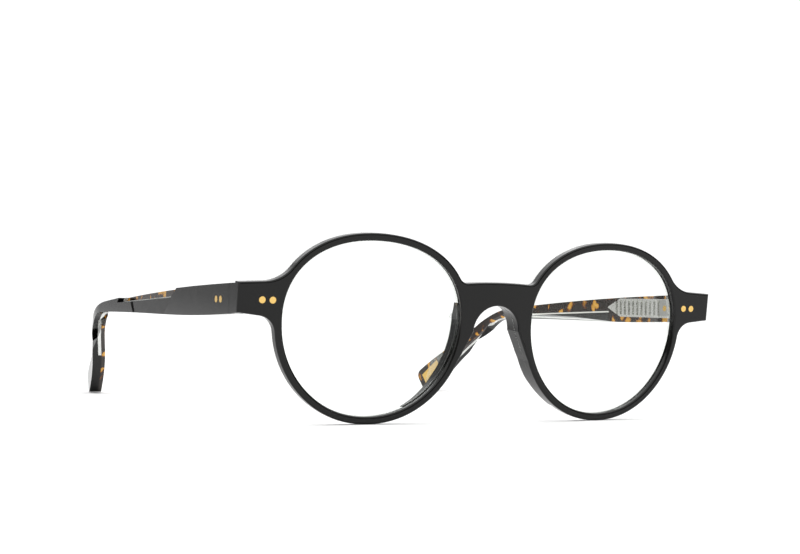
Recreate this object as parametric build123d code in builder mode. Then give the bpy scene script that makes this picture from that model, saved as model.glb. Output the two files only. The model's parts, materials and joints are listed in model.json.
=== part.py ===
from build123d import *
import os
from math import copysign, cos, radians, sin

os.makedirs("parts", exist_ok=True)

# Placing: X across the face, Y back along the temples, Z up from the table
front_y = -68.088
lens_z = 23.407
tilt = 6.3
wrap = 3.45

# Front: lens shape, rims, bridge and endpieces
lens_x = 33.5
eye_half_width = 23.65
eye_half_height = 21.55
eye_squareness = 2.14
eye_brow_widening = 0.10
eye_nasal_shift = 0.69
eye_skew = 1.37
eye_points = 28
rim_width = 1.9
front_ahead = 0.9
front_behind = 2.4
black_behind = 1.3
crown_reach = 12.0
wing_length = 62.0
bridge_half = 11.0
bridge_end = 11.9
bridge_top = 12.4
arch_half = 6.6
arch_top = 6.5
flare_mid = (9.6, -6.0)
flare_end = (11.7, -9.8)
end_x = 69.5
end_top = 10.6
end_bottom = 3.3
end_root_top = (56.0, 11.3)
end_root_bottom = (58.8, 2.1)
end_top_fillet = 9.0
end_bottom_fillet = 4.5
bridge_fillet = 2.5
front_edge_round = 0.5
rear_edge_round = 0.4
return_x = 66.3
return_from = (1.7, 10.5, 3.35)
return_to = (5.9, 10.4, 3.1)

# Lenses
groove_depth = 0.55
groove_half = 0.65
groove_w = -0.9
lens_gap = 0.02
lens_thickness = 1.8
lens_curve = 180.0
lens_apex = 1.2

# Nose build-up behind the rims, and the clear pads on it
nose_x = 25.0
nose_ramp = (6.8, 3.4, -12.0, -19.5)
nose_from = 1.8
nose_behind = 3.3
pad_top = 3.9
pad_middle = -4.6
pad_bottom = -13.6
pad_behind = 6.1
pad_lean = 18.0

# Temples
temple_start = 6.0
temple_thickness = 3.7
arm_top = ((6.0, 10.4), (30.0, 9.57), (60.0, 7.98), (98.5, 4.95))
arm_low = ((6.0, 3.05), (30.0, 2.28), (60.0, 2.2), (101.5, 1.95))
black_depth = 1.7
crystal_depth = 2.6
bend_y = 103.0
bend_radius = 40.0
bend_in = 20.5
bend_run = 6.0
flare_radius = 60.0
flare_out = 9.0
drop_angle = -36.8
drop_start = (108.0, 1.9, 0)
drop_from = 4.7
drop_half = 1.4
drop_middle = 20.0
drop_swell = 2.05
tip_along = 38.3
tip_half = 3.8
tip_round = 2.1
tip_length = 40.0
cut_depth = 0.8
cut_from = 38.0
cut_full = 97.5
cut_lift = 2.3
cut_fade = 4.0
window_outline = ((38.9, 10.5), (45.0, 6.6), (87.4, 4.75), (83.5, 8.5))
inner_window_outline = ((42.9, 10.5), (46.6, 6.95), (86.4, 5.1), (82.6, 8.5))
facet_y = 45.0
facet_z = 6.0
facet_lean = 37.0
facet_length = 25.5
facet_depth = 0.5
crystal_stop = 19.5

# Inlays in the temples
plate_y = 9.0
plate_shoulder = 36.0
plate_tip = 42.3
plate_bottom = 3.8
plate_top = 9.1
plate_mid = 6.45
plate_waist = 2.8
plate_cheek = 1.5
plate_thickness = 0.9
rib_first = 17.6
rib_pitch = 2.0
rib_count = 11
rib_height = 4.6
rib_gap = 0.95
rib_depth = 0.4
wire_x = 66.35
wire_r = 0.5
wire_stop = 84.0
plaque_along = 31.6
plaque_length = 9.0
plaque_height = 3.6
plaque_sunk = 0.25

# Hinges
hinge_x = 64.2
hinge_y = 7.4
knuckle_r = 1.2
knuckle_pitch = 1.1
knuckle_gap = 0.06
knuckle_bottom = 3.85
screw_r = 0.5
screw_clearance = 0.05
leaf_thickness = 0.8
leaf_height = 4.4
hinge_web_y = 4.5
temple_leaf = (8.7, 16.3)
front_leaf = (59.4, 66.1)
screw_head_r = 0.95
screw_head_h = 0.5
screw_slot = 0.3
rivet_proud = 0.05
rivet_r = 0.82
rivet_gap = 0.01
rivet_z = 6.5
front_rivet_x = (60.75, 63.4)
temple_rivet_y = (11.1, 13.9)

forward = (0, -cos(radians(tilt)), -sin(radians(tilt)))
upward = (0, -sin(radians(tilt)), cos(radians(tilt)))
centre = (0, front_y, lens_z)
backward = (0, cos(radians(tilt)), sin(radians(tilt)))
front = Plane(origin=centre, x_dir=(1, 0, 0), z_dir=forward)
crown = Plane(origin=centre, x_dir=(1, 0, 0), z_dir=upward)
side_view = Plane(origin=centre, x_dir=(0, 1, 0), z_dir=(1, 0, 0))
plan_view = Plane(origin=centre, x_dir=(1, 0, 0), z_dir=(0, 0, 1))
pad_view = Plane(origin=centre, x_dir=backward, z_dir=(1, 0, 0))


def save(piece, label):
    """Name one finished piece and write its file."""
    piece.part.label = label
    export_step(piece.part, f"parts/{label}.step")


def save_pair(piece, label):
    """Write a left piece and its mirror image for the right side."""
    save(piece, f"left_{label}")
    with BuildPart() as mirrored:
        mirror(piece.part, about=Plane.YZ)
    save(mirrored, f"right_{label}")


# ---------------------------------------------------------------- lens shape
def eye_point(turn, grow):
    """Point of the rounded egg-shaped lens outline, grown along its normal."""
    def bare(angle):
        across = copysign(abs(cos(angle)) ** (2 / eye_squareness), cos(angle))
        along = copysign(abs(sin(angle)) ** (2 / eye_squareness), sin(angle))
        u = eye_half_width * across * (1 + eye_brow_widening * sin(angle))
        u += eye_nasal_shift * cos(2 * angle)
        return Vector(u, eye_half_height * along + eye_skew * cos(angle) * sin(angle))

    step = 0.02
    tangent = (bare(turn + step) - bare(turn - step)).normalized()
    return bare(turn) + Vector(tangent.Y, -tangent.X) * grow


def eye_face(side, grow, shift=0.0):
    """Lens outline of one side, sized by grow."""
    turns = [radians(360 * (i + 0.5) / eye_points) for i in range(eye_points)]
    points = [eye_point(turn, grow) for turn in turns]
    with BuildSketch() as outline:
        with BuildLine():
            Spline([(side * (p.X + shift), p.Y) for p in points], periodic=True)
        make_face()
    return outline.sketch


def lens_plane(side, ahead=0.0):
    """Plane of one lens, leaning with the front and wrapped back at its side."""
    turn = Location((side * lens_x, 0, 0), (0, side * wrap, 0))
    return Plane(front.location * turn).offset(ahead)


# ---------------------------------------------------------------- front
crown_radius = crown_reach / sin(radians(wrap))
crown_centre = crown_radius * cos(radians(wrap))
crown_centre -= (lens_x - crown_reach) * sin(radians(wrap)) / cos(radians(wrap))


def front_band(ahead, behind):
    """Plan section of the front: two straight wings joined by a gentle curve."""
    with BuildSketch() as section:
        with BuildLine():
            ends = []
            for depth in (ahead, -behind):
                arc = CenterArc((0, crown_centre), crown_radius + depth, -90 - wrap, 2 * wrap)
                right_wing = PolarLine(arc @ 0, wing_length, 180 - wrap)
                left_wing = PolarLine(arc @ 1, wing_length, wrap)
                ends.append((right_wing @ 1, left_wing @ 1))
            Line(ends[0][0], ends[1][0])
            Line(ends[0][1], ends[1][1])
        make_face()
    return section.sketch


def bridge_face():
    """Bridge between the rims, with its arch flaring down to the nose."""
    with BuildSketch() as outline:
        with BuildLine():
            ThreePointArc((-bridge_half, bridge_end), (0, bridge_top), (bridge_half, bridge_end))
            ThreePointArc((-arch_half, 0), (0, arch_top), (arch_half, 0))
            for side in (-1, 1):
                Polyline(
                    (side * bridge_half, bridge_end),
                    (side * (bridge_half - 1), 3.0),
                    (side * (flare_end[0] + 0.9), flare_end[1]),
                    (side * flare_end[0], flare_end[1]),
                    (side * flare_mid[0], flare_mid[1]),
                    (side * arch_half, 0),
                )
        make_face()
    return outline.sketch


def endpiece_face(side):
    """Lug at the outer end of one rim."""
    with BuildSketch() as outline:
        with BuildLine():
            Polyline(
                (side * end_root_top[0], end_root_top[1]),
                (side * end_x, end_top),
                (side * end_x, end_bottom),
                (side * end_root_bottom[0], end_root_bottom[1]),
                close=True,
            )
        make_face()
    return outline.sketch


def corner_edges(part, near_x, low, high):
    """Edges along the depth of the front, near one X and between two heights."""
    found = []
    for edge in part.edges().filter_by(Axis(centre, forward)):
        spot = front.to_local_coords(edge.center())
        if abs(abs(spot.X) - near_x) < 4 and low < spot.Y < high:
            found.append(edge)
    return found


def lip_edges(part, sense):
    """Outline and opening edges of the front face (sense 1) or rear face (-1)."""
    found = []
    for face in part.faces():
        if face.normal_at(face.center()).dot(Vector(*forward)) * sense > 0.97:
            found += face.edges()
    seams = ShapeList(found).filter_by(Axis(centre, upward))
    seams = [edge for edge in seams if abs(edge.center().X) < lens_x]
    return [edge for edge in found if edge not in seams]


with BuildPart() as front_blank:
    with BuildSketch(front):
        for side in (-1, 1):
            add(eye_face(side, rim_width, lens_x))
            add(endpiece_face(side))
        add(bridge_face())
    extrude(amount=wing_length / 4, both=True)
    fillet(corner_edges(front_blank, 59.0, 6.0, 16.0), end_top_fillet)
    fillet(corner_edges(front_blank, 61.0, -2.0, 4.0), end_bottom_fillet)
    fillet(corner_edges(front_blank, 9.0, 8.0, 16.0), bridge_fillet)
    with BuildSketch(crown):
        add(front_band(front_ahead, front_behind))
    extrude(amount=lens_x, both=True, mode=Mode.INTERSECT)
    for side in (-1, 1):
        with BuildSketch(lens_plane(side)):
            add(eye_face(side, 0))
        extrude(amount=wing_length / 4, both=True, mode=Mode.SUBTRACT)
    fillet(lip_edges(front_blank, 1), front_edge_round)
    fillet(lip_edges(front_blank, -1), rear_edge_round)


def v_ring(side, inner, apex, half, about):
    """Solid with a vee edge: the lens outline swelling to an apex and back."""
    sections = [(-half, inner), (0, apex), (half, inner)]
    with BuildPart() as ring:
        for ahead, grow in sections:
            with BuildSketch(lens_plane(side, about + ahead)):
                add(eye_face(side, grow))
        loft(ruled=True)
    return ring.part



with BuildPart() as grooves:
    for side in (-1, 1):
        add(v_ring(side, -0.05, groove_depth, groove_half, groove_w))

with BuildPart() as rivet_holes:
    for side in (-1, 1):
        for x in front_rivet_x:
            with BuildSketch(lens_plane(side)):
                with Locations((side * (x - lens_x), rivet_z)):
                    Circle(rivet_r + rivet_gap)
            extrude(amount=front_behind * 2, both=True)


def front_layer(ahead, behind):
    """One lamination of the front, with lens grooves and rivet holes."""
    with BuildPart() as layer:
        add(front_blank)
        add(grooves, mode=Mode.SUBTRACT)
        add(rivet_holes, mode=Mode.SUBTRACT)
        with BuildSketch(crown):
            add(front_band(ahead, behind))
        extrude(amount=lens_x, both=True, mode=Mode.INTERSECT)
    return layer.part


with BuildPart() as nose_blocks:
    with BuildSketch(pad_view):
        with BuildLine():
            Polyline(
                (0, nose_ramp[0]),
                (nose_from, nose_ramp[0]),
                (nose_behind, nose_ramp[1]),
                (nose_behind, nose_ramp[2]),
                (nose_from, nose_ramp[3]),
                (0, nose_ramp[3]),
                close=True,
            )
        make_face()
    extrude(amount=nose_x, both=True)
    with BuildSketch(front):
        add(bridge_face())
        for side in (-1, 1):
            add(eye_face(side, rim_width, lens_x))
    extrude(amount=lens_x, both=True, mode=Mode.INTERSECT)
    for side in (-1, 1):
        with BuildSketch(lens_plane(side)):
            add(eye_face(side, 0))
        extrude(amount=wing_length / 4, both=True, mode=Mode.SUBTRACT)
    add(grooves, mode=Mode.SUBTRACT)

with BuildPart() as front_crystal:
    add(front_layer(-black_behind, front_behind + 1))
    with Locations(centre):
        Box(2 * return_x, 2 * lens_x, 2 * lens_x, mode=Mode.INTERSECT)
    add(nose_blocks, mode=Mode.SUBTRACT)
save(front_crystal, "front_crystal")

with BuildPart() as front_black:
    add(front_layer(front_ahead + 1, black_behind))
    with BuildSketch(side_view.offset(return_x)):
        with BuildLine():
            Polyline(
                (return_from[0], return_from[1]),
                (return_to[0], return_to[1]),
                (return_to[0], return_to[2]),
                (return_from[0], return_from[2]),
                close=True,
            )
        make_face()
    extrude(amount=end_x - return_x)
    mirror(about=Plane.YZ)
    add(nose_blocks)
save(front_black, "front_black")

# ---------------------------------------------------------------- lenses
with BuildPart() as lens:
    with BuildSketch(lens_plane(1, groove_w)):
        add(eye_face(1, -0.05))
    extrude(amount=wing_length / 8, both=True)
    with Locations(lens_plane(1, lens_apex - lens_curve).origin):
        Sphere(lens_curve, mode=Mode.INTERSECT)
        Sphere(lens_curve - lens_thickness, mode=Mode.SUBTRACT)
    add(v_ring(1, -0.1, groove_depth - lens_gap, groove_half - lens_gap, groove_w))
save_pair(lens, "lens")

# ---------------------------------------------------------------- nose pads
pad_lean_way = (sin(radians(pad_lean)), *(cos(radians(pad_lean)) * part for part in backward[1:]))

with BuildPart() as pad:
    with BuildSketch(front.offset(-nose_behind)):
        add(bridge_face())
        add(eye_face(1, rim_width, lens_x))
        add(eye_face(1, 0, lens_x), mode=Mode.SUBTRACT)
    extrude(amount=lens_x / 2, dir=pad_lean_way)
    with BuildSketch(pad_view):
        with BuildLine():
            ThreePointArc((nose_behind, pad_top), (pad_behind, pad_middle), (nose_behind, pad_bottom))
            Line((nose_behind, pad_bottom), (nose_behind, pad_top))
        make_face()
    extrude(amount=nose_x, mode=Mode.INTERSECT)
save_pair(pad, "nose_pad")

# ---------------------------------------------------------------- temples
along_arm = Vector(1, 0, 0).rotate(Axis.Z, drop_angle)


def drop_point(along, up):
    """Point of the drop behind the ear, measured along and across it."""
    return Vector(*drop_start) + Vector(along, up, 0).rotate(Axis.Z, drop_angle)


def arm_side(depth):
    """Plan line of the left temple at one depth below its outer face."""
    bent = 90 + bend_in
    toward = Vector(1, 0, 0).rotate(Axis.Z, bend_in)
    pivot = Vector(end_x - bend_radius, bend_y)
    along = Vector(0, 1, 0).rotate(Axis.Z, bend_in) * bend_run
    far_pivot = pivot + toward * (bend_radius + flare_radius) + along
    straight = Line((end_x - depth, temple_start), (end_x - depth, bend_y))
    CenterArc(pivot, bend_radius - depth, 0, bend_in)
    PolarLine(pivot + toward * (bend_radius - depth), bend_run, bent)
    flare = CenterArc(far_pivot, flare_radius + depth, 180 + bend_in, -flare_out)
    tail = PolarLine(flare @ 1, tip_length, bent - flare_out)
    return straight @ 0, tail @ 1


def arm_band(outer, inner):
    """Plan section of the left temple between two depths from its outer face."""
    with BuildSketch() as section:
        with BuildLine():
            outer_ends = arm_side(outer)
            inner_ends = arm_side(inner)
            Line(outer_ends[0], inner_ends[0])
            Line(outer_ends[1], inner_ends[1])
        make_face()
    return section.sketch


def arm_layer(blank, outer, inner):
    """The part of a temple solid that lies between two depths."""
    with BuildPart() as layer:
        add(blank)
        with BuildSketch(plan_view):
            add(arm_band(outer, inner))
        extrude(amount=lens_z + 5, both=True, mode=Mode.INTERSECT)
    return layer.part


def side_block(points, outer, inner):
    """Block with a side outline, between two depths from the outer face."""
    with BuildPart() as block:
        with BuildSketch(side_view.offset(end_x - inner)):
            with BuildLine():
                Polyline(*points, close=True)
            make_face()
        extrude(amount=inner - outer)
    return block.part


def arm_outline():
    """Side outline of the left temple, from the hinge to the tip behind the ear."""
    with BuildSketch() as outline:
        with BuildLine():
            top = Spline(*arm_top, tangents=((1, -0.03), (1, -0.1)))
            over = TangentArc(top @ 1, drop_point(drop_from, drop_half), tangent=top % 1)
            tip_top = Spline(
                over @ 1, drop_point(drop_middle, drop_swell), drop_point(tip_along, tip_half),
                tangents=(along_arm, along_arm),
            )
            low = Spline(*arm_low, tangents=((1, -0.04), (1, -0.02)))
            under = TangentArc(low @ 1, drop_point(drop_from - 1, -drop_half), tangent=low % 1)
            tip_low = Spline(
                under @ 1, drop_point(drop_middle, -drop_swell), drop_point(tip_along, -tip_half),
                tangents=(along_arm, along_arm),
            )
            Line(tip_top @ 1, tip_low @ 1)
            Line(top @ 0, low @ 0)
        make_face()
        ends = [v for v in outline.vertices() if v.X > drop_point(tip_along - 5, 0).X]
        fillet(ends, tip_round)
    return outline.sketch


with BuildPart() as arm:
    with BuildSketch(side_view):
        add(arm_outline())
    extrude(amount=end_x + 5)
    with BuildSketch(plan_view):
        add(arm_band(0, temple_thickness))
    extrude(amount=lens_z + 5, both=True, mode=Mode.INTERSECT)


def cut_face(lift):
    """Side outline of the slanted cut, lifted above the lower edge of the temple."""
    with BuildSketch() as outline:
        with BuildLine():
            Polyline(
                (cut_from, arm_low[2][1]),
                (arm_low[2][0], arm_low[2][1] + 0.5 * lift),
                (cut_full, arm_low[3][1] + lift),
                drop_point(drop_from, lift - drop_half),
                drop_point(crystal_stop, lift - drop_swell),
                drop_point(crystal_stop + cut_fade, -drop_swell - 1),
                drop_point(crystal_stop, -drop_swell - cut_fade),
                (cut_full, -cut_fade),
                (cut_from, 0),
                close=True,
            )
        make_face()
    return outline.sketch


# Slanted cut along the lower inner edge, from the hinge plate into the drop
with BuildPart() as lower_cut:
    for depth, lift in ((temple_thickness + 0.2, cut_lift), (cut_depth, 0.0)):
        with BuildSketch(side_view.offset(end_x - depth)):
            add(cut_face(lift))
    loft(ruled=True)

with BuildPart() as arm_cut:
    add(arm)
    add(lower_cut, mode=Mode.SUBTRACT)

# Shallow facet milled into the outer face, ending in a diagonal step
facet_plane = Plane(
    origin=side_view.from_local_coords((facet_y, facet_z, end_x)),
    x_dir=(0, sin(radians(facet_lean)), cos(radians(facet_lean))),
    z_dir=(0, cos(radians(facet_lean)), -sin(radians(facet_lean))),
)
with BuildPart() as facet:
    with BuildSketch(facet_plane):
        with BuildLine():
            Polyline((0, 0), (facet_length, -facet_depth), (facet_length, 1), (0, 1), close=True)
        make_face()
    extrude(amount=facet_length, both=True)

black_window = side_block(window_outline, -1, black_depth)
crystal_window = side_block(inner_window_outline, -1, crystal_depth)

with BuildPart() as crystal_full:
    add(arm_layer(arm_cut, black_depth, crystal_depth))
    stop_way = side_view.from_local_coords(along_arm) - side_view.origin
    stop_plane = Plane(side_view.from_local_coords(drop_point(crystal_stop, 0)), z_dir=stop_way)
    split(bisect_by=stop_plane, keep=Keep.BOTTOM)

# Plate and wire inlaid in the inner face, with a row of rounded ribs
with BuildPart() as core_blank:
    with BuildSketch(side_view.offset(end_x - temple_thickness)):
        with BuildLine():
            body = Polyline(
                (plate_shoulder, plate_top),
                (plate_y, plate_top),
                (plate_y, plate_bottom),
                (plate_shoulder, plate_bottom),
            )
            waist = plate_shoulder + plate_waist
            ThreePointArc(body @ 1, (waist, plate_mid - plate_cheek), (plate_tip, plate_mid))
            ThreePointArc(body @ 0, (waist, plate_mid + plate_cheek), (plate_tip, plate_mid))
        make_face()
    extrude(amount=plate_thickness)
    wire_start = side_view.from_local_coords((plate_shoulder, plate_mid, wire_x))
    wire_end = side_view.from_local_coords((wire_stop, 4.9, wire_x))
    with BuildSketch(Plane(wire_start, z_dir=wire_end - wire_start)):
        Circle(wire_r)
    extrude(amount=(wire_end - wire_start).length)

with BuildPart() as rivet_bores:
    for y in temple_rivet_y:
        with BuildSketch(side_view.offset(end_x - temple_thickness - 2)):
            with Locations((y, rivet_z)):
                Circle(rivet_r + rivet_gap)
        extrude(amount=temple_thickness + 4)

with BuildPart() as core:
    add(core_blank)
    with BuildSketch(side_view.offset(end_x - temple_thickness)):
        for i in range(rib_count):
            with Locations((rib_first + i * rib_pitch, plate_mid)):
                SlotOverall(rib_height, rib_gap, rotation=90)
    extrude(amount=rib_depth, mode=Mode.SUBTRACT)
    add(rivet_bores, mode=Mode.SUBTRACT)
save_pair(core, "core_wire")

with BuildPart() as plaque_block:
    with BuildSketch(side_view.offset(end_x - 25)):
        with Locations(drop_point(plaque_along, 0)):
            Rectangle(plaque_length, plaque_height, rotation=drop_angle)
    extrude(amount=20)
with BuildPart() as plaque:
    add(arm_layer(plaque_block, temple_thickness - plaque_sunk, temple_thickness + 0.03))
save_pair(plaque, "tip_plaque")

with BuildPart() as tortoise:
    add(arm_layer(arm_cut, crystal_depth, temple_thickness))
    add(core_blank, mode=Mode.SUBTRACT)
    add(plaque, mode=Mode.SUBTRACT)
    add(rivet_bores, mode=Mode.SUBTRACT)
save_pair(tortoise, "temple_tortoise")

with BuildPart() as crystal:
    add(crystal_full)
    add(crystal_window, mode=Mode.SUBTRACT)
    add(rivet_bores, mode=Mode.SUBTRACT)
save_pair(crystal, "temple_crystal")

with BuildPart() as black:
    add(arm_layer(arm_cut, 0, crystal_depth))
    add(crystal_full, mode=Mode.SUBTRACT)
    add(black_window, mode=Mode.SUBTRACT)
    add(facet, mode=Mode.SUBTRACT)
    add(rivet_bores, mode=Mode.SUBTRACT)
save_pair(black, "temple_black")

# ---------------------------------------------------------------- hinges
hinge_view = plan_view.offset(knuckle_bottom)
knuckle_h = knuckle_pitch - knuckle_gap


def knuckles(numbers, web_x, web_y):
    """Barrels of one hinge half, each joined to its leaf by a web."""
    with BuildPart() as barrels:
        for number in numbers:
            with BuildSketch(hinge_view.offset(number * knuckle_pitch + knuckle_gap / 2)):
                with Locations((hinge_x, hinge_y)):
                    Circle(knuckle_r)
                with Locations(((web_x[0] + web_x[1]) / 2, (web_y[0] + web_y[1]) / 2)):
                    Rectangle(web_x[1] - web_x[0], web_y[1] - web_y[0])
            extrude(amount=knuckle_h)
    return barrels.part


with BuildPart() as screw_hole:
    with BuildSketch(hinge_view.offset(-knuckle_pitch)):
        with Locations((hinge_x, hinge_y)):
            Circle(screw_r + screw_clearance)
    extrude(amount=knuckle_pitch * 7)

with BuildPart() as temple_hinge:
    with BuildSketch(side_view.offset(end_x - temple_thickness - leaf_thickness)):
        with Locations(((temple_leaf[0] + temple_leaf[1]) / 2, rivet_z + 0.1)):
            RectangleRounded(temple_leaf[1] - temple_leaf[0], leaf_height, 0.8)
    extrude(amount=leaf_thickness)
    add(knuckles((1, 3), (hinge_x, end_x - temple_thickness), (hinge_y, temple_leaf[0] + 1)))
    add(screw_hole, mode=Mode.SUBTRACT)
    add(rivet_bores, mode=Mode.SUBTRACT)
save_pair(temple_hinge, "temple_hinge")

with BuildPart() as front_hinge:
    with BuildSketch(lens_plane(1, -front_behind - leaf_thickness)):
        with Locations(((front_leaf[0] + front_leaf[1]) / 2 - lens_x, rivet_z + 0.1)):
            RectangleRounded(front_leaf[1] - front_leaf[0], leaf_height + 0.6, 0.8)
    extrude(amount=leaf_thickness)
    add(knuckles((0, 2, 4), (hinge_x - knuckle_r, hinge_x + 0.9), (hinge_web_y, hinge_y)))
    add(screw_hole, mode=Mode.SUBTRACT)
    add(rivet_holes, mode=Mode.SUBTRACT)
save_pair(front_hinge, "front_hinge")

with BuildPart() as hinge_screw:
    with BuildSketch(hinge_view):
        with Locations((hinge_x, hinge_y)):
            Circle(screw_r)
    extrude(amount=knuckle_pitch * 5)
    with BuildSketch(hinge_view.offset(knuckle_pitch * 5)):
        with Locations((hinge_x, hinge_y)):
            Circle(screw_head_r)
    extrude(amount=screw_head_h)
    with BuildSketch(hinge_view.offset(knuckle_pitch * 5 + screw_head_h)):
        with Locations((hinge_x, hinge_y)):
            Rectangle(screw_head_r * 3, screw_slot)
    extrude(amount=-screw_head_h / 2, mode=Mode.SUBTRACT)
save_pair(hinge_screw, "hinge_screw")

# ---------------------------------------------------------------- rivets
with BuildPart() as front_rivets:
    for x in front_rivet_x:
        with BuildSketch(lens_plane(1, -front_behind - leaf_thickness)):
            with Locations((x - lens_x, rivet_z)):
                Circle(rivet_r)
        extrude(amount=front_behind + leaf_thickness + front_ahead + rivet_proud)
save_pair(front_rivets, "front_rivets")

with BuildPart() as temple_rivets:
    for y in temple_rivet_y:
        with BuildSketch(side_view.offset(end_x - temple_thickness - leaf_thickness)):
            with Locations((y, rivet_z)):
                Circle(rivet_r)
        extrude(amount=temple_thickness + leaf_thickness + rivet_proud)
save_pair(temple_rivets, "temple_rivets")
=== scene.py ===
import json
import math

import bpy
from mathutils import Matrix, Vector

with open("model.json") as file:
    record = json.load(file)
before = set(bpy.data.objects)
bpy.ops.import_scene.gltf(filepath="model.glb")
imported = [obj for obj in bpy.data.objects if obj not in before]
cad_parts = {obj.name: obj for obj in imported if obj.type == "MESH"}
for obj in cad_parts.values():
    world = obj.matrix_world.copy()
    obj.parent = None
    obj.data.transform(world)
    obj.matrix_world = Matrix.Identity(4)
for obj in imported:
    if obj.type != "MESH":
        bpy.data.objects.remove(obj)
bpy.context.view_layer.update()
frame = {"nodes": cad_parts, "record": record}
nodes = frame["nodes"]

MM = 0.001

# Band painted along the ground lower edge of the tortoiseshell layer: its clear and black laminations,
# with a painted shadow of the step and a painted reflection of the table on the black. Its height where y
# is 0, how much it falls for each millimetre towards the tip, the heights round it that the band spreads
# over, the share of them that shows, and where along the arm it starts and ends.
LAYERS_AND_SHADE_HEIGHT = 27.65 * MM
LAYERS_AND_SHADE_FALL = 0.037
LAYERS_AND_SHADE_SPAN = (-1.1 * MM, 0.9 * MM)
LAYERS_AND_SHADE_TOP = 0.62
LAYERS_AND_SHADE_RUN = (-26.5 * MM, 29.0 * MM)

# Share of a plain surface's reflection that an anti-reflection coating leaves
COATING = 0.06

# Alpha of clear acetate: over black in the front, and as a pale layer edge in the temples
FRONT_MILKINESS = 0.16
TEMPLE_MILKINESS = 0.8

FLOOR_REACH = 2.2

# Direction of the bright side of the room, and the cosines between which it fades
BRIGHT_SIDE = (0.47, 0.88, 0)
BRIGHT_FADE = (0.5, 0.9)

# Midpoint between the two lens centres, and the camera's place from it
LENS_CENTRE = Vector((0, -68.088, 23.407)) * MM
CAMERA_OFFSET = Vector((-219.94, -357.83, 7.31)) * MM


# ---------------------------------------------------------------- colours and node helpers
def linear(hex_colour, alpha=1.0):
    """sRGB hex colour as the linear RGBA that a shader socket takes."""
    channels = [int(hex_colour[i:i + 2], 16) / 255 for i in (1, 3, 5)]
    made = [c / 12.92 if c <= 0.04045 else ((c + 0.055) / 1.055) ** 2.4 for c in channels]
    return (*made, alpha)


def add_node(tree, kind, settings=None, links=None):
    """Add one node, set its properties and input values, and link its inputs."""
    node = tree.nodes.new(kind)
    for name, value in (settings or {}).items():
        if isinstance(name, str) and hasattr(node, name):
            setattr(node, name, value)
        else:
            node.inputs[name].default_value = value
    for name, source in (links or {}).items():
        tree.links.new(source, node.inputs[name])
    return node


def new_material(name):
    """An empty node material and its tree."""
    material = bpy.data.materials.new(name)
    material.use_nodes = True
    material.node_tree.nodes.clear()
    return material, material.node_tree


def finish_material(tree, shader):
    """Send a shader to the material's output."""
    add_node(tree, "ShaderNodeOutputMaterial", links={"Surface": shader})


def fill_ramp(ramp, stops):
    """Give a colour ramp its stops, as pairs of place and sRGB hex."""
    while len(ramp.color_ramp.elements) < len(stops):
        ramp.color_ramp.elements.new(0.5)
    for element, (place, colour) in zip(ramp.color_ramp.elements, stops):
        element.position = place
        element.color = linear(colour)


def object_space(tree, unit_mm):
    """Coordinates of the piece, scaled so that one unit is that many millimetres."""
    coords = add_node(tree, "ShaderNodeTexCoord")
    scale = 1 / (unit_mm * MM)
    mapping = add_node(tree, "ShaderNodeMapping", {"Scale": (scale, scale, scale)},
                       {"Vector": coords.outputs["Object"]})
    return mapping.outputs["Vector"]


# ---------------------------------------------------------------- materials
def black_acetate():
    """Polished black cellulose acetate, with the faint waviness of tumble polishing."""
    material, tree = new_material("black_acetate")
    wave = add_node(tree, "ShaderNodeTexNoise", {"Scale": 1.0, "Detail": 2.0},
                    {"Vector": object_space(tree, 3.0)})
    haze = add_node(tree, "ShaderNodeMapRange", {"To Min": 0.10, "To Max": 0.17},
                    {"Value": wave.outputs["Fac"]})
    bump = add_node(tree, "ShaderNodeBump", {"Strength": 0.05, "Distance": 0.02 * MM},
                    {"Height": wave.outputs["Fac"]})
    shader = add_node(tree, "ShaderNodeBsdfPrincipled",
                      {"Base Color": linear("#0b0b0a"), "IOR": 1.48, "Specular IOR Level": 0.28},
                      {"Roughness": haze.outputs["Result"], "Normal": bump.outputs["Normal"]})
    finish_material(tree, shader.outputs["BSDF"])
    return material


def crystal_acetate(name, milkiness):
    """Clear cellulose acetate: see-through, with a pale milky body and polished skin."""
    material, tree = new_material(name)
    wave = add_node(tree, "ShaderNodeTexNoise", {"Scale": 1.0, "Detail": 2.0},
                    {"Vector": object_space(tree, 4.0)})
    haze = add_node(tree, "ShaderNodeMapRange", {"To Min": 0.08, "To Max": 0.16},
                    {"Value": wave.outputs["Fac"]})
    body = add_node(tree, "ShaderNodeMapRange", {"To Min": milkiness - 0.06, "To Max": milkiness + 0.06},
                    {"Value": wave.outputs["Fac"]})
    shader = add_node(tree, "ShaderNodeBsdfPrincipled", {"Base Color": linear("#eef0ec"), "IOR": 1.48},
                      {"Roughness": haze.outputs["Result"], "Alpha": body.outputs["Result"]})
    finish_material(tree, shader.outputs["BSDF"])
    return material


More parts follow.
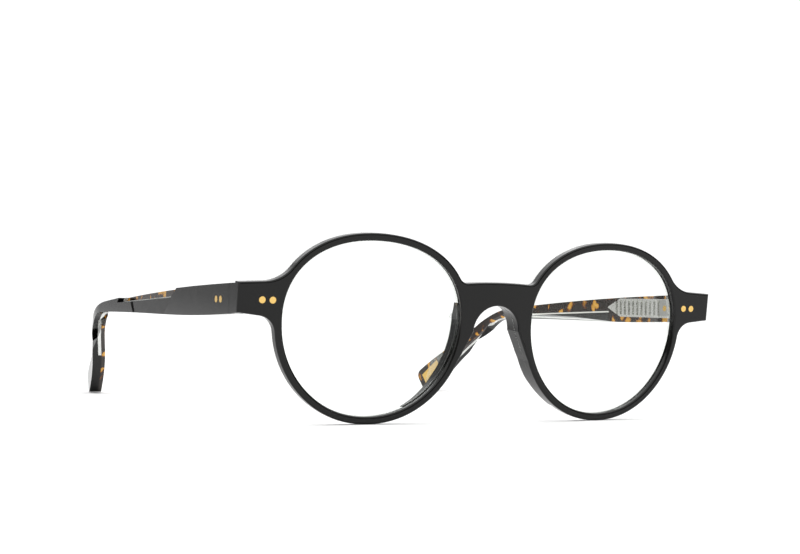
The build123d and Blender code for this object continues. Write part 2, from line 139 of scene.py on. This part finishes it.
def tortoise_acetate():
    """Dark tortoiseshell cellulose acetate with amber flecks a few millimetres long.

    Along the arm, from the hinge plate to the bend, its lower edge is ground to show the clear
    and black laminations, painted on as a pale line for the clear layer, a dark strip under it for
    the black layer with the step's shadow painted in, and a grey band below it for the black layer
    with a painted reflection of the table.
    """
    material, tree = new_material("tortoise_acetate")
    space = object_space(tree, 2.5)
    warp = add_node(tree, "ShaderNodeTexNoise", {"Scale": 0.9, "Detail": 3.0}, {"Vector": space})
    bent = add_node(tree, "ShaderNodeVectorMath", {"operation": "ADD"}, {0: space, 1: warp.outputs["Color"]})
    cells = add_node(tree, "ShaderNodeTexNoise", {"Scale": 0.8, "Detail": 1.5, "Roughness": 0.4},
                     {"Vector": bent.outputs["Vector"]})
    flecks = add_node(tree, "ShaderNodeValToRGB", links={"Fac": cells.outputs["Fac"]})
    fill_ramp(flecks, [(0.0, "#15100b"), (0.54, "#22160d"), (0.58, "#6a3b10"), (0.63, "#c9912f"),
                       (1.0, "#e8c469")])

    coords = add_node(tree, "ShaderNodeTexCoord")
    place = add_node(tree, "ShaderNodeSeparateXYZ", links={"Vector": coords.outputs["Object"]})
    slope = add_node(tree, "ShaderNodeMath",
                     {"operation": "MULTIPLY_ADD", 1: LAYERS_AND_SHADE_FALL, 2: -LAYERS_AND_SHADE_HEIGHT},
                     {0: place.outputs["Y"]})
    height = add_node(tree, "ShaderNodeMath", {"operation": "ADD"},
                      {0: place.outputs["Z"], 1: slope.outputs["Value"]})
    laid = add_node(tree, "ShaderNodeMapRange",
                    {"From Min": LAYERS_AND_SHADE_SPAN[0], "From Max": LAYERS_AND_SHADE_SPAN[1]},
                    {"Value": height.outputs["Value"]})
    # Painted band: grey is a painted reflection of the table on the black layer, dark is the black layer
    # with the step's painted shadow, pale is the clear layer
    layers_and_painted_shade = add_node(tree, "ShaderNodeValToRGB", links={"Fac": laid.outputs["Result"]})
    fill_ramp(layers_and_painted_shade, [(0.0, "#2c2c2a"), (0.40, "#1c1c1b"), (0.43, "#dcdcd6"), (0.60, "#e6e6e0"),
                       (0.63, "#000000")])
    below = add_node(tree, "ShaderNodeMath", {"operation": "LESS_THAN", 1: LAYERS_AND_SHADE_TOP},
                     {0: laid.outputs["Result"]})
    behind = add_node(tree, "ShaderNodeMath", {"operation": "GREATER_THAN", 1: LAYERS_AND_SHADE_RUN[0]},
                      {0: place.outputs["Y"]})
    before = add_node(tree, "ShaderNodeMath", {"operation": "LESS_THAN", 1: LAYERS_AND_SHADE_RUN[1]},
                      {0: place.outputs["Y"]})
    along = add_node(tree, "ShaderNodeMath", {"operation": "MULTIPLY"},
                     {0: behind.outputs["Value"], 1: before.outputs["Value"]})
    shown = add_node(tree, "ShaderNodeMath", {"operation": "MULTIPLY"},
                     {0: along.outputs["Value"], 1: below.outputs["Value"]})
    # Below the edge line the painted band of laminations, painted shadow and painted reflection replaces the
    # flecks
    colour = add_node(tree, "ShaderNodeMix", {"data_type": "RGBA"},
                      {0: shown.outputs["Value"], 6: flecks.outputs["Color"], 7: layers_and_painted_shade.outputs["Color"]})
    shader = add_node(tree, "ShaderNodeBsdfPrincipled", {"IOR": 1.48, "Roughness": 0.14},
                      {"Base Color": colour.outputs[2]})
    finish_material(tree, shader.outputs["BSDF"])
    return material


def lens_plastic():
    """Clear coated plano lens: light goes straight through and a little is reflected."""
    material, tree = new_material("lens_plastic")
    grazing = add_node(tree, "ShaderNodeFresnel", {"IOR": 1.5})
    clear = add_node(tree, "ShaderNodeBsdfTransparent", {"Color": linear("#fcfdfc")})
    gloss = add_node(tree, "ShaderNodeBsdfGlossy", {"Color": linear("#ffffff"), "Roughness": 0.0})
    coated = add_node(tree, "ShaderNodeMath", {"operation": "MULTIPLY", 1: COATING},
                      {0: grazing.outputs["Fac"]})
    mixed = add_node(tree, "ShaderNodeMixShader",
                     links={0: coated.outputs["Value"], 1: clear.outputs["BSDF"], 2: gloss.outputs["BSDF"]})
    finish_material(tree, mixed.outputs["Shader"])
    return material


def brushed_metal(name, colour, roughness):
    """Metal with fine turning marks."""
    material, tree = new_material(name)
    grain = add_node(tree, "ShaderNodeTexNoise", {"Scale": 1.0, "Detail": 4.0},
                     {"Vector": object_space(tree, 0.35)})
    worn = add_node(tree, "ShaderNodeMapRange", {"To Min": roughness - 0.06, "To Max": roughness + 0.08},
                    {"Value": grain.outputs["Fac"]})
    shader = add_node(tree, "ShaderNodeBsdfPrincipled", {"Base Color": linear(colour), "Metallic": 1.0},
                      {"Roughness": worn.outputs["Result"]})
    finish_material(tree, shader.outputs["BSDF"])
    return material


slots = {
    "black_acetate": black_acetate(),
    "crystal_acetate": crystal_acetate("crystal_acetate_front", FRONT_MILKINESS),
    "tortoise_acetate": tortoise_acetate(),
    "clear_lens": lens_plastic(),
    "gold_metal": brushed_metal("gold_rivet_metal", "#e6c073", 0.28),
    "hinge_steel": brushed_metal("hinge_steel", "#b9b9b6", 0.30),
    "core_steel": brushed_metal("core_steel", "#cfcfcb", 0.26),
}
temple_crystal = crystal_acetate("crystal_acetate_temple", TEMPLE_MILKINESS)
for part in frame["record"]["subparts"]:
    mesh = nodes[part["node"]].data
    mesh.materials.clear()
    in_temple = part["node"].endswith("temple_crystal")
    mesh.materials.append(temple_crystal if in_temple else slots[part["material_slot"]])


# ---------------------------------------------------------------- table, light and camera
def studio_floor():
    """Pale seamless table top under the glasses."""
    mesh = bpy.data.meshes.new("studio_floor")
    signs = ((-1, -1), (1, -1), (1, 1), (-1, 1))
    corners = [(a * FLOOR_REACH, b * FLOOR_REACH, 0) for a, b in signs]
    mesh.from_pydata(corners, [], [(0, 1, 2, 3)])
    floor = bpy.data.objects.new("studio_floor", mesh)
    bpy.context.collection.objects.link(floor)
    material, tree = new_material("studio_floor")
    shader = add_node(tree, "ShaderNodeBsdfPrincipled", {"Base Color": linear("#fbfbfb"), "Roughness": 0.9})
    finish_material(tree, shader.outputs["BSDF"])
    mesh.materials.append(material)


def studio_light(name, place, target, size, watts):
    """Large soft box aimed at a point."""
    light = bpy.data.lights.new(name, "AREA")
    light.shape = "RECTANGLE"
    light.size, light.size_y = size
    light.energy = watts
    lamp = bpy.data.objects.new(name, light)
    bpy.context.collection.objects.link(lamp)
    lamp.location = place
    lamp.rotation_euler = (Vector(target) - Vector(place)).to_track_quat("-Z", "Y").to_euler()


def studio_world(front_level, back_level):
    """White surroundings, brightest in one direction behind the glasses and darker elsewhere."""
    world = bpy.data.worlds.new("studio_world")
    bpy.context.scene.world = world
    world.use_nodes = True
    tree = world.node_tree
    tree.nodes.clear()
    coords = add_node(tree, "ShaderNodeTexCoord")
    toward = add_node(tree, "ShaderNodeVectorMath", {"operation": "DOT_PRODUCT", 1: BRIGHT_SIDE},
                      {0: coords.outputs["Generated"]})
    level = add_node(tree, "ShaderNodeMapRange",
                     {"From Min": BRIGHT_FADE[0], "From Max": BRIGHT_FADE[1],
                      "To Min": front_level, "To Max": back_level},
                     {"Value": toward.outputs["Value"]})
    background = add_node(tree, "ShaderNodeBackground", {"Color": linear("#ffffff")},
                          {"Strength": level.outputs["Result"]})
    add_node(tree, "ShaderNodeOutputWorld", links={"Surface": background.outputs["Background"]})


def place_camera(place, yaw, pitch, roll, lens):
    """Camera turned right by yaw, up by pitch and round its view by roll, in degrees."""
    yaw, pitch, roll = (math.radians(a) for a in (yaw, pitch, roll))
    ahead = Vector((math.sin(yaw) * math.cos(pitch), math.cos(yaw) * math.cos(pitch), math.sin(pitch)))
    level_right = Vector((math.cos(yaw), -math.sin(yaw), 0))
    level_up = level_right.cross(ahead)
    right = level_right * math.cos(roll) + level_up * math.sin(roll)
    up = level_up * math.cos(roll) - level_right * math.sin(roll)
    data = bpy.data.cameras.new("studio_camera")
    data.lens = lens
    data.clip_start = 0.01
    camera = bpy.data.objects.new("studio_camera", data)
    bpy.context.collection.objects.link(camera)
    turned = Matrix((right, up, -ahead)).transposed().to_4x4()
    camera.matrix_world = Matrix.Translation(place) @ turned
    bpy.context.scene.camera = camera


bpy.context.scene.view_settings.view_transform = "Standard"
studio_floor()
studio_world(front_level=0.22, back_level=1.15)
studio_light("overhead_softbox", place=(0, 0.3, 2.6), target=(0, 0.3, 0), size=(8.0, 8.0), watts=300)
place_camera(LENS_CENTRE + CAMERA_OFFSET, yaw=28.36, pitch=0.786, roll=1.27, lens=74.38)
